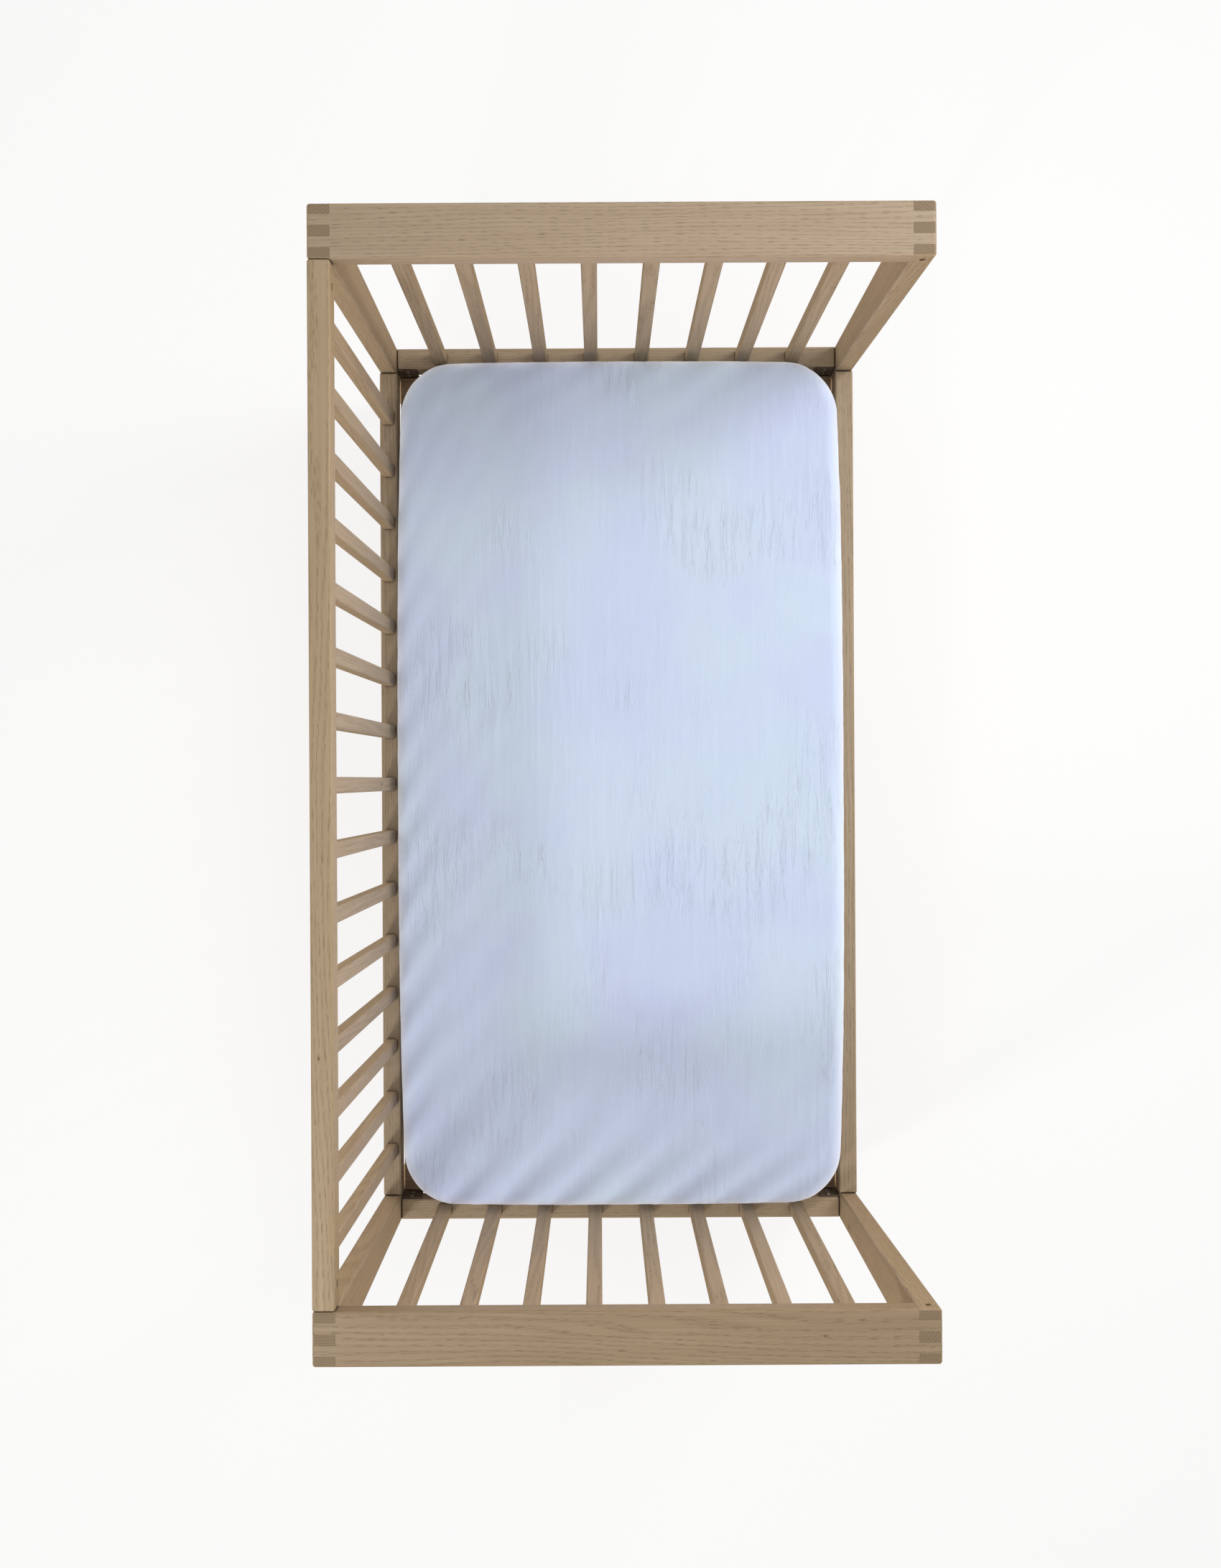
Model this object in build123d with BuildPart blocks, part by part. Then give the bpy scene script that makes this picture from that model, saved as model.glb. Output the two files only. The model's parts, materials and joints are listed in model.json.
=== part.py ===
from build123d import *
import os

# Baby crib with finger-jointed end frames, a slatted back, a low front rail,
# a slatted mattress base on steel hangers, and a mattress in a fitted sheet.
# +X runs towards the head end, +Y towards the slatted back, +Z up.
# The origin is on the floor, midway between the four feet. Sizes are in mm.

os.makedirs("parts", exist_ok=True)

# ---- overall sizes ----
overall_length = 1412.0
overall_width = 764.0
overall_height = 900.0

# ---- end frames ----
board_thickness = 28.0
post_top_width = 68.0
post_foot_width = 28.0
finger_count = 5
finger_clearance = 0.15
edge_radius = 4.0
end_slat_count = 8
end_rail_width = 32.0
end_rail_setback = 3.0
tenon_length = 8.0
tenon_shoulder = 7.0
joint_clearance = 0.15

# ---- side rails ----
rail_height = 40.0
rail_top_z = 300.0
top_rail_height = 34.0
rail_edge_radius = 3.0
back_slat_count = 15

# ---- slats ----
slat_width = 21.0
slat_depth = 18.0
slat_edge_radius = 3.0
housing_depth = 12.0

# ---- connector bolts, barrel nuts and dowels ----
bolt_radius = 3.0
bolt_hole_radius = 4.0
bolt_head_radius = 7.0
bolt_head_height = 4.0
hex_socket_radius = 2.9
hex_socket_depth = 2.5
counterbore_radius = 8.0
counterbore_depth = 6.0
bolt_reach = 38.0
nut_setback = 30.0
nut_radius = 5.0
nut_length = 16.0
nut_clearance = 0.1
top_bolt_drop = 17.0
low_bolt_drop = 14.0
dowel_radius = 4.0
dowel_rise = 11.0
dowel_in_post = 14.0
dowel_in_rail = 18.0

# ---- floor glides ----
glide_height = 4.0
glide_radius = 11.0
glide_nail_radius = 1.5
glide_nail_length = 14.0

# ---- mattress base ----
base_top_z = 258.0
base_end_gap = 3.5
base_side_gap = 1.0
bearer_width = 30.0
bearer_height = 40.0
base_slat_count = 13
base_slat_width = 60.0
base_slat_thickness = 12.0
base_edge_radius = 2.0

# ---- hanger brackets and screws ----
bracket_thickness = 2.5
bracket_width = 30.0
bracket_ledge = 40.0
bracket_top_drop = 4.0
screw_radius = 2.0
screw_length = 20.0
screw_head_radius = 4.0
screw_head_height = 2.0
screw_drops = (10.0, 28.0)
slat_screw_radius = 1.75
slat_screw_length = 30.0
slat_screw_head_radius = 3.5
slat_screw_head_height = 2.0

# ---- mattress ----
mattress_end_gap = 10.5
mattress_side_gap = 8.0
mattress_thickness = 138.0
mattress_corner_radius = 76.0
mattress_edge_radius = 22.0
sheet_thickness = 1.5
sheet_clearance = 0.2
sheet_tuck = 110.0
rest_gap = 0.3

# ---- places worked out from the sizes above ----
half_length = overall_length / 2
half_width = overall_width / 2
inner_half_width = half_width - board_thickness
inner_width = 2 * inner_half_width
board_underside_z = overall_height - board_thickness
finger_width = post_top_width / finger_count
top_rail_underside_z = overall_height - top_rail_height
rail_centre_y = half_width - board_thickness / 2
end_rail_outer_x = half_length - end_rail_setback
end_rail_inner_x = end_rail_outer_x - end_rail_width
end_rail_centre_x = end_rail_outer_x - end_rail_width / 2
top_board_centre_x = half_length - post_top_width / 2
top_bolt_z = overall_height - top_bolt_drop
low_bolt_z = rail_top_z - low_bolt_drop
dowel_z = rail_top_z - rail_height + dowel_rise
base_half_length = end_rail_inner_x - base_end_gap
base_half_width = inner_half_width - base_side_gap
bearer_top_z = base_top_z - base_slat_thickness
bearer_bottom_z = bearer_top_z - bearer_height
bearer_centre_y = base_half_width - bearer_width / 2
mattress_length = 2 * (end_rail_inner_x - mattress_end_gap)
mattress_width = 2 * (inner_half_width - mattress_side_gap)
sheet_bottom_z = base_top_z + rest_gap
mattress_bottom_z = sheet_bottom_z + sheet_thickness + sheet_clearance
ends = (("head", 1), ("foot", -1))
sides = (("front", -1), ("back", 1))


def post_inner_x(z):
    """Distance from the middle of the crib to a post's tapered inner face at height z."""
    taper = (post_top_width - post_foot_width) * z / overall_height
    return half_length - post_foot_width - taper


def even_places(count, width, low, high):
    """Centres of equal pieces spread between two limits with equal gaps."""
    gap = (high - low - count * width) / (count + 1)
    return [low + gap + width / 2 + index * (gap + width) for index in range(count)]


def save(part, label):
    """Label a finished piece and write it to its own file."""
    part.label = label
    export_step(part, f"parts/{label}.step")


def slat_plane(foot, head, along_rail):
    """Plane at a slat's foot, facing up the slat, with its x axis along the rail."""
    return Plane(origin=foot, x_dir=along_rail, z_dir=head - foot)


def slat_length(foot, head):
    """Length of a slat between the faces of its two rails."""
    return (head - foot).length


# Every slat as its foot on the lower rail, its head under the upper one, and the rail's run.
end_slat_places = {}
for end_name, end in ends:
    end_slat_places[end_name] = [
        (
            Vector(end * end_rail_centre_x, y, rail_top_z),
            Vector(end * top_board_centre_x, y, board_underside_z),
            Vector(0, 1, 0),
        )
        for y in even_places(end_slat_count, slat_width, -inner_half_width, inner_half_width)
    ]

back_feet_x = even_places(
    back_slat_count, slat_width, -post_inner_x(rail_top_z), post_inner_x(rail_top_z)
)
back_heads_x = even_places(
    back_slat_count,
    slat_width,
    -post_inner_x(top_rail_underside_z),
    post_inner_x(top_rail_underside_z),
)
back_slat_places = [
    (
        Vector(foot_x, rail_centre_y, rail_top_z),
        Vector(head_x, rail_centre_y, top_rail_underside_z),
        Vector(1, 0, 0),
    )
    for foot_x, head_x in zip(back_feet_x, back_heads_x)
]


def make_end_frame_blank(end):
    """One end frame's inverted U, eased and bored, before it is cut into board and posts."""
    outer_x = end * half_length
    with BuildPart() as blank:
        with BuildSketch(Plane.XZ):
            with BuildLine():
                Polyline(
                    (outer_x, glide_height),
                    (end * post_inner_x(glide_height), glide_height),
                    (end * post_inner_x(overall_height), overall_height),
                    (outer_x, overall_height),
                    close=True,
                )
            make_face()
        extrude(amount=half_width, both=True)
        with BuildSketch(Plane.XY):
            with Locations((outer_x, 0)):
                Rectangle(4 * post_top_width, inner_width)
        extrude(amount=board_underside_z, mode=Mode.SUBTRACT)
        eased = blank.edges().filter_by(lambda edge: edge.center().Z > 2 * glide_height)
        inner_corners = eased.filter_by(Axis.X).filter_by(
            lambda edge: edge.center().Z < overall_height - 1
        )
        fillet(eased - inner_corners, radius=edge_radius)
        for side_name, side in sides:
            post_y = side * rail_centre_y
            for bolt_z in (top_bolt_z, low_bolt_z):
                with Locations(Plane(origin=(outer_x, post_y, bolt_z), z_dir=(end, 0, 0))):
                    CounterBoreHole(bolt_hole_radius, counterbore_radius, counterbore_depth)
            dowel_mouth = Plane(
                origin=(end * post_inner_x(dowel_z), post_y, dowel_z), z_dir=(end, 0, 0)
            )
            with BuildSketch(dowel_mouth.offset(-edge_radius)):
                Circle(dowel_radius)
            extrude(amount=dowel_in_post + edge_radius, mode=Mode.SUBTRACT)
            mortise_floor = side * (inner_half_width + tenon_length + joint_clearance)
            with Locations((end * end_rail_centre_x, mortise_floor, rail_top_z - rail_height / 2)):
                Box(
                    end_rail_width - 2 * tenon_shoulder + 2 * joint_clearance,
                    2 * (tenon_length + joint_clearance),
                    rail_height - 2 * tenon_shoulder + 2 * joint_clearance,
                    align=(Align.CENTER, Align.MAX if side > 0 else Align.MIN, Align.CENTER),
                    mode=Mode.SUBTRACT,
                )
            foot_x = outer_x - end * post_foot_width / 2
            with BuildSketch(Plane.XY):
                with Locations((foot_x, post_y)):
                    Circle(glide_nail_radius)
            extrude(amount=glide_height + glide_nail_length, mode=Mode.SUBTRACT)
        for foot, head, along_rail in end_slat_places["head" if end > 0 else "foot"]:
            top_plane = slat_plane(foot, head, along_rail).offset(slat_length(foot, head))
            with BuildSketch(top_plane.offset(-edge_radius)):
                RectangleRounded(
                    slat_width + 2 * joint_clearance,
                    slat_depth + 2 * joint_clearance,
                    slat_edge_radius,
                )
            extrude(
                amount=housing_depth + edge_radius + joint_clearance, mode=Mode.SUBTRACT
            )
    return blank.part


def finger_slot(end, index, clearance):
    """Middle and width of one finger, counted from the crib's outer face."""
    middle = end * (half_length - (index + 0.5) * finger_width)
    return middle, finger_width + 2 * clearance


def make_top_board(blank, end):
    """The wide board across the top, with the odd fingers cut away at both ends."""
    with BuildPart() as board:
        add(blank)
        with BuildSketch(Plane.XY.offset(board_underside_z)):
            with Locations((end * top_board_centre_x, 0)):
                Rectangle(2 * post_top_width, overall_width)
        extrude(amount=board_thickness, mode=Mode.INTERSECT)
        for index in range(0, finger_count, 2):
            middle, width = finger_slot(end, index, 0)
            with BuildSketch(Plane.XY.offset(board_underside_z)):
                for side_name, side in sides:
                    with Locations((middle, side * half_width)):
                        Rectangle(width, 2 * (board_thickness + finger_clearance))
            extrude(amount=board_thickness, mode=Mode.SUBTRACT)
    return board.part


def make_post(blank, end, side):
    """One post, standing full height, with the even fingers cut out for the board."""
    with BuildPart() as post:
        add(blank)
        with BuildSketch(Plane.XY):
            with Locations((end * top_board_centre_x, side * rail_centre_y)):
                Rectangle(2 * post_top_width, board_thickness)
        extrude(amount=overall_height, mode=Mode.INTERSECT)
        for index in range(1, finger_count, 2):
            middle, width = finger_slot(end, index, finger_clearance)
            with BuildSketch(Plane.XY.offset(board_underside_z - finger_clearance)):
                with Locations((middle, side * rail_centre_y)):
                    Rectangle(width, 2 * board_thickness)
            extrude(amount=2 * board_thickness, mode=Mode.SUBTRACT)
    return post.part


def make_end_bottom_rail(end):
    """The end frame's bottom rail, with a stub tenon into each post and slat housings."""
    centre_z = rail_top_z - rail_height / 2
    with BuildPart() as rail:
        with Locations((end * end_rail_centre_x, 0, centre_z)):
            Box(end_rail_width, inner_width, rail_height)
        fillet(rail.edges(), radius=rail_edge_radius)
        with Locations((end * end_rail_centre_x, 0, centre_z)):
            Box(
                end_rail_width - 2 * tenon_shoulder,
                inner_width + 2 * tenon_length,
                rail_height - 2 * tenon_shoulder,
            )
        for foot, head, along_rail in end_slat_places["head" if end > 0 else "foot"]:
            foot_plane = slat_plane(foot, head, along_rail)
            with BuildSketch(foot_plane.offset(-housing_depth - joint_clearance)):
                RectangleRounded(
                    slat_width + 2 * joint_clearance,
                    slat_depth + 2 * joint_clearance,
                    slat_edge_radius,
                )
            extrude(amount=2 * housing_depth, mode=Mode.SUBTRACT)
        for side_name, side in sides:
            for drop in screw_drops:
                screw_place = (end * end_rail_inner_x, side * bearer_centre_y, rail_top_z - drop)
                with BuildSketch(Plane(origin=screw_place, z_dir=(end, 0, 0))):
                    Circle(screw_radius)
                extrude(amount=screw_length - bracket_thickness, mode=Mode.SUBTRACT)
    return rail.part


def make_slat(foot, head, along_rail):
    """One eased square slat that runs into a housing in the rail at each end."""
    foot_plane = slat_plane(foot, head, along_rail)
    with BuildPart() as slat:
        with BuildSketch(foot_plane.offset(-housing_depth)):
            RectangleRounded(slat_width, slat_depth, slat_edge_radius)
        extrude(amount=slat_length(foot, head) + 2 * housing_depth)
    return slat.part


def make_side_rail(side, top_z, height, bolt_z, slat_planes, with_dowels):
    """A long rail between the tapered posts, bored for its bolts and housed for its slats."""
    rail_y = side * rail_centre_y
    with BuildPart() as rail:
        with BuildSketch(Plane.XZ.offset(-rail_y)):
            with BuildLine():
                Polyline(
                    (-post_inner_x(top_z), top_z),
                    (post_inner_x(top_z), top_z),
                    (post_inner_x(top_z - height), top_z - height),
                    (-post_inner_x(top_z - height), top_z - height),
                    close=True,
                )
            make_face()
        extrude(amount=board_thickness / 2, both=True)
        fillet(rail.edges(), radius=rail_edge_radius)
        for end_name, end in ends:
            end_x = post_inner_x(bolt_z)
            with BuildSketch(Plane(origin=(end * (end_x + 5), rail_y, bolt_z), z_dir=(-end, 0, 0))):
                Circle(bolt_hole_radius)
            extrude(amount=bolt_reach + 10, mode=Mode.SUBTRACT)
            nut_place = (end * (end_x - nut_setback), side * inner_half_width, bolt_z)
            with BuildSketch(Plane(origin=nut_place, z_dir=(0, side, 0))):
                Circle(nut_radius + nut_clearance)
            extrude(
                amount=(board_thickness + nut_length) / 2 + nut_clearance, mode=Mode.SUBTRACT
            )
            if with_dowels:
                dowel_place = (end * (post_inner_x(dowel_z) + 5), rail_y, dowel_z)
                with BuildSketch(Plane(origin=dowel_place, z_dir=(-end, 0, 0))):
                    Circle(dowel_radius)
                extrude(amount=dowel_in_rail + 5, mode=Mode.SUBTRACT)
        for plane, start, amount in slat_planes:
            with BuildSketch(plane.offset(start)):
                RectangleRounded(
                    slat_width + 2 * joint_clearance,
                    slat_depth + 2 * joint_clearance,
                    slat_edge_radius,
                )
            extrude(amount=amount, mode=Mode.SUBTRACT)
    return rail.part


# ---- end frames ----
for end_name, end in ends:
    end_frame_blank = make_end_frame_blank(end)
    save(make_top_board(end_frame_blank, end), f"{end_name}_top_board")
    for side_name, side in sides:
        save(make_post(end_frame_blank, end, side), f"{end_name}_{side_name}_post")
    save(make_end_bottom_rail(end), f"{end_name}_bottom_rail")
    for number, (foot, head, along_rail) in enumerate(end_slat_places[end_name], 1):
        save(make_slat(foot, head, along_rail), f"{end_name}_slat_{number}")

# ---- slatted back ----
head_housings = []
foot_housings = []
for foot, head, along_rail in back_slat_places:
    foot_plane = slat_plane(foot, head, along_rail)
    head_start = slat_length(foot, head) - rail_edge_radius
    head_housings.append(
        (foot_plane, head_start, housing_depth + rail_edge_radius + joint_clearance)
    )
    foot_housings.append((foot_plane, -housing_depth - joint_clearance, 2 * housing_depth))
back_top_rail = make_side_rail(
    1, overall_height, top_rail_height, top_bolt_z, head_housings, False
)
save(back_top_rail, "back_top_rail")
save(
    make_side_rail(1, rail_top_z, rail_height, low_bolt_z, foot_housings, True),
    "back_bottom_rail",
)
for number, (foot, head, along_rail) in enumerate(back_slat_places, 1):
    save(make_slat(foot, head, along_rail), f"back_slat_{number}")

# ---- open front: a low rail only ----
save(make_side_rail(-1, rail_top_z, rail_height, low_bolt_z, [], True), "front_low_rail")

# ---- connector bolts, barrel nuts and dowels of the three side rails ----
bolted_joints = [
    (end, side, bolt_z)
    for end_name, end in ends
    for side, bolt_z in ((1, top_bolt_z), (1, low_bolt_z), (-1, low_bolt_z))
]

with BuildPart() as connector_bolts:
    for end, side, bolt_z in bolted_joints:
        seat_x = half_length - counterbore_depth
        shank_length = seat_x - post_inner_x(bolt_z) + bolt_reach
        seat = Plane(origin=(end * seat_x, side * rail_centre_y, bolt_z), z_dir=(end, 0, 0))
        with BuildSketch(seat):
            Circle(bolt_head_radius)
        extrude(amount=bolt_head_height)
        with BuildSketch(seat):
            Circle(bolt_radius)
        extrude(amount=-shank_length)
        with BuildSketch(seat.offset(bolt_head_height)):
            RegularPolygon(hex_socket_radius, 6)
        extrude(amount=-hex_socket_depth, mode=Mode.SUBTRACT)
save(connector_bolts.part, "connector_bolts")

with BuildPart() as barrel_nuts:
    for end, side, bolt_z in bolted_joints:
        nut_x = end * (post_inner_x(bolt_z) - nut_setback)
        nut_end = Plane(
            origin=(nut_x, side * rail_centre_y - nut_length / 2, bolt_z), z_dir=(0, 1, 0)
        )
        with BuildSketch(nut_end):
            Circle(nut_radius)
        extrude(amount=nut_length)
        thread_mouth = Plane(
            origin=(nut_x - nut_radius, side * rail_centre_y, bolt_z), z_dir=(1, 0, 0)
        )
        with BuildSketch(thread_mouth):
            Circle(bolt_radius)
        extrude(amount=2 * nut_radius, mode=Mode.SUBTRACT)
save(barrel_nuts.part, "barrel_nuts")

with BuildPart() as rail_dowels:
    for end_name, end in ends:
        for side_name, side in sides:
            dowel_end_x = end * (post_inner_x(dowel_z) + dowel_in_post)
            dowel_end = Plane(
                origin=(dowel_end_x, side * rail_centre_y, dowel_z), z_dir=(-end, 0, 0)
            )
            with BuildSketch(dowel_end):
                Circle(dowel_radius)
            extrude(amount=dowel_in_post + dowel_in_rail)
save(rail_dowels.part, "rail_dowels")

# ---- floor glides, one under each post ----
with BuildPart() as floor_glides:
    for end_name, end in ends:
        for side_name, side in sides:
            glide_place = (end * (half_length - post_foot_width / 2), side * rail_centre_y)
            with BuildSketch(Plane.XY):
                with Locations(glide_place):
                    Circle(glide_radius)
            extrude(amount=glide_height)
            with BuildSketch(Plane.XY):
                with Locations(glide_place):
                    Circle(glide_nail_radius)
            extrude(amount=glide_height + glide_nail_length)
save(floor_glides.part, "floor_glides")

# ---- mattress base ----
base_slat_places = [
    -base_half_length
    + base_slat_width / 2
    + index * (2 * base_half_length - base_slat_width) / (base_slat_count - 1)
    for index in range(base_slat_count)
]

for side_name, side in sides:
    bearer_y = side * bearer_centre_y
    with BuildPart() as long_bearer:
        with Locations((0, bearer_y, bearer_top_z - bearer_height / 2)):
            Box(2 * base_half_length, bearer_width, bearer_height)
        fillet(long_bearer.edges().filter_by(Axis.X), radius=base_edge_radius)
        with BuildSketch(Plane.XY.offset(base_top_z)):
            with Locations(*[(x, bearer_y) for x in base_slat_places]):
                Circle(slat_screw_radius)
        extrude(amount=-slat_screw_length, mode=Mode.SUBTRACT)
    save(long_bearer.part, f"base_{side_name}_bearer")

for end_name, end in ends:
    with BuildPart() as end_bearer:
        bearer_x = end * (base_half_length - bearer_width / 2)
        with Locations((bearer_x, 0, bearer_top_z - bearer_height / 2)):
            Box(bearer_width, 2 * (base_half_width - bearer_width), bearer_height)
        fillet(end_bearer.edges().filter_by(Axis.Y), radius=base_edge_radius)
    save(end_bearer.part, f"base_{end_name}_bearer")

with BuildPart() as base_slats:
    with BuildSketch(Plane.XY.offset(bearer_top_z)):
        with Locations(*[(x, 0) for x in base_slat_places]):
            Rectangle(base_slat_width, 2 * base_half_width)
    extrude(amount=base_slat_thickness)
    fillet(base_slats.edges().filter_by(Axis.Y), radius=base_edge_radius)
    with BuildSketch(Plane.XY.offset(base_top_z)):
        for side_name, side in sides:
            with Locations(*[(x, side * bearer_centre_y) for x in base_slat_places]):
                Circle(slat_screw_head_radius)
    extrude(amount=-slat_screw_head_height, mode=Mode.SUBTRACT)
    with BuildSketch(Plane.XY.offset(base_top_z)):
        for side_name, side in sides:
            with Locations(*[(x, side * bearer_centre_y) for x in base_slat_places]):
                Circle(slat_screw_radius)
    extrude(amount=-base_slat_thickness, mode=Mode.SUBTRACT)
save(base_slats.part, "base_slats")

with BuildPart() as base_slat_screws:
    with BuildSketch(Plane.XY.offset(base_top_z)):
        for side_name, side in sides:
            with Locations(*[(x, side * bearer_centre_y) for x in base_slat_places]):
                Circle(slat_screw_head_radius)
    extrude(amount=-slat_screw_head_height)
    with BuildSketch(Plane.XY.offset(base_top_z)):
        for side_name, side in sides:
            with Locations(*[(x, side * bearer_centre_y) for x in base_slat_places]):
                Circle(slat_screw_radius)
    extrude(amount=-slat_screw_length)
save(base_slat_screws.part, "base_slat_screws")

# ---- steel hangers that carry the base on the end rails, and their screws ----
bracket_top_z = rail_top_z - bracket_top_drop
ledge_underside_z = bearer_bottom_z - bracket_thickness

with BuildPart() as base_brackets:
    for end_name, end in ends:
        back_face_x = end * end_rail_inner_x
        front_face_x = end * (end_rail_inner_x - bracket_thickness)
        ledge_tip_x = end * (end_rail_inner_x - bracket_ledge)
        for side_name, side in sides:
            with BuildSketch(Plane.XZ.offset(-side * bearer_centre_y)):
                with BuildLine():
                    Polyline(
                        (back_face_x, bracket_top_z),
                        (back_face_x, ledge_underside_z),
                        (ledge_tip_x, ledge_underside_z),
                        (ledge_tip_x, bearer_bottom_z),
                        (front_face_x, bearer_bottom_z),
                        (front_face_x, bracket_top_z),
                        close=True,
                    )
                make_face()
            extrude(amount=bracket_width / 2, both=True)
            for drop in screw_drops:
                hole_place = (front_face_x, side * bearer_centre_y, rail_top_z - drop)
                with BuildSketch(Plane(origin=hole_place, z_dir=(end, 0, 0))):
                    Circle(screw_radius)
                extrude(amount=bracket_thickness, mode=Mode.SUBTRACT)
save(base_brackets.part, "base_brackets")

with BuildPart() as bracket_screws:
    for end_name, end in ends:
        for side_name, side in sides:
            for drop in screw_drops:
                seat = Plane(
                    origin=(
                        end * (end_rail_inner_x - bracket_thickness),
                        side * bearer_centre_y,
                        rail_top_z - drop,
                    ),
                    z_dir=(end, 0, 0),
                )
                with BuildSketch(seat):
                    Circle(screw_head_radius)
                extrude(amount=-screw_head_height)
                with BuildSketch(seat):
                    Circle(screw_radius)
                extrude(amount=screw_length)
save(bracket_screws.part, "bracket_screws")

# ---- mattress and fitted sheet ----
core_height = mattress_thickness - 2 * (sheet_thickness + sheet_clearance)
core_inset = sheet_thickness + sheet_clearance

with BuildPart() as mattress_core:
    with BuildSketch(Plane.XY.offset(mattress_bottom_z)):
        RectangleRounded(
            mattress_length - 2 * core_inset,
            mattress_width - 2 * core_inset,
            mattress_corner_radius - core_inset,
        )
    extrude(amount=core_height)
    core_rims = mattress_core.edges().filter_by(Plane.XY)
    fillet(core_rims, radius=mattress_edge_radius - core_inset)
save(mattress_core.part, "mattress_core")

with BuildPart() as fitted_sheet:
    with BuildSketch(Plane.XY.offset(sheet_bottom_z)):
        RectangleRounded(mattress_length, mattress_width, mattress_corner_radius)
    extrude(amount=mattress_thickness)
    sheet_rims = fitted_sheet.edges().filter_by(Plane.XY)
    fillet(sheet_rims, radius=mattress_edge_radius)
    with BuildPart(mode=Mode.PRIVATE) as sheet_inside:
        with BuildSketch(Plane.XY.offset(sheet_bottom_z + sheet_thickness)):
            RectangleRounded(
                mattress_length - 2 * sheet_thickness,
                mattress_width - 2 * sheet_thickness,
                mattress_corner_radius - sheet_thickness,
            )
        extrude(amount=mattress_thickness - 2 * sheet_thickness)
        inside_rims = sheet_inside.edges().filter_by(Plane.XY)
        fillet(inside_rims, radius=mattress_edge_radius - sheet_thickness)
    add(sheet_inside.part, mode=Mode.SUBTRACT)
    with BuildSketch(Plane.XY.offset(sheet_bottom_z)):
        RectangleRounded(
            mattress_length - 2 * sheet_tuck,
            mattress_width - 2 * sheet_tuck,
            mattress_corner_radius,
        )
    extrude(amount=sheet_thickness, mode=Mode.SUBTRACT)
save(fitted_sheet.part, "fitted_sheet")
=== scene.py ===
"""The looks of the baby crib: washed oak, hardware, mattress pad, fitted sheet and the stage."""

import json
import math
import random

import bpy
import numpy as np
from bpy.props import FloatProperty, FloatVectorProperty, IntProperty, PointerProperty
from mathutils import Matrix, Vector, noise


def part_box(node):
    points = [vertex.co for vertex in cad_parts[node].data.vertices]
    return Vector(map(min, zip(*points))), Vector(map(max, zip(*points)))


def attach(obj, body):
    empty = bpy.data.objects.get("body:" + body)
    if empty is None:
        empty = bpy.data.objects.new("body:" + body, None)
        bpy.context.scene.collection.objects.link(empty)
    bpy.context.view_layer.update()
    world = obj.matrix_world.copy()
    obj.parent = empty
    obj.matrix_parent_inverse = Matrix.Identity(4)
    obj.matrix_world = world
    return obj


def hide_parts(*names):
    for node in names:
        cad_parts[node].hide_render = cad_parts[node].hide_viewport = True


bl_info = {
    "name": "Crib looks",
    "version": (1, 0, 0),
    "blender": (4, 5, 0),
    "location": "3D View > Sidebar > Crib",
    "description": "Finishes a wooden crib and makes its mattress and fitted sheet",
    "category": "Object",
}

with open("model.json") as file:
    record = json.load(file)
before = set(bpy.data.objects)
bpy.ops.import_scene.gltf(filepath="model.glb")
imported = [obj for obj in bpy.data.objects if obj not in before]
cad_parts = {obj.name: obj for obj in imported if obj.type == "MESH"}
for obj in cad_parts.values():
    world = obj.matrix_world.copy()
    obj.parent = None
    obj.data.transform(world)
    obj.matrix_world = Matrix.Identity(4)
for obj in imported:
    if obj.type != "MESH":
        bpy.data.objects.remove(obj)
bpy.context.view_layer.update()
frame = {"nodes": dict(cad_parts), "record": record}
sheet_low, sheet_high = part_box("fitted_sheet")


# ---- settings that a user would change ----


class CRIB_PG_wood(bpy.types.PropertyGroup):
    """Colours and figure of the timber."""

    oak_pale: FloatVectorProperty(
        name="Oak, pale", description="Early wood of the washed oak",
        default=(0.392, 0.302, 0.203), size=3, subtype="COLOR", min=0, max=1,
    )
    oak_deep: FloatVectorProperty(
        name="Oak, deep", description="Late wood and pores of the washed oak",
        default=(0.258, 0.184, 0.110), size=3, subtype="COLOR", min=0, max=1,
    )
    base_pale: FloatVectorProperty(
        name="Base timber, pale", description="Early wood of the mattress base",
        default=(0.40, 0.285, 0.175), size=3, subtype="COLOR", min=0, max=1,
    )
    base_deep: FloatVectorProperty(
        name="Base timber, deep", description="Late wood of the mattress base",
        default=(0.25, 0.155, 0.085), size=3, subtype="COLOR", min=0, max=1,
    )
    ring_width: FloatProperty(
        name="Ring width", description="From one growth ring to the next",
        default=0.0034, min=0.0005, max=0.02, subtype="DISTANCE", unit="LENGTH",
    )
    contrast: FloatProperty(
        name="Figure contrast", description="How strongly the grain shows",
        default=0.80, min=0, max=3, subtype="FACTOR",
    )


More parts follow.
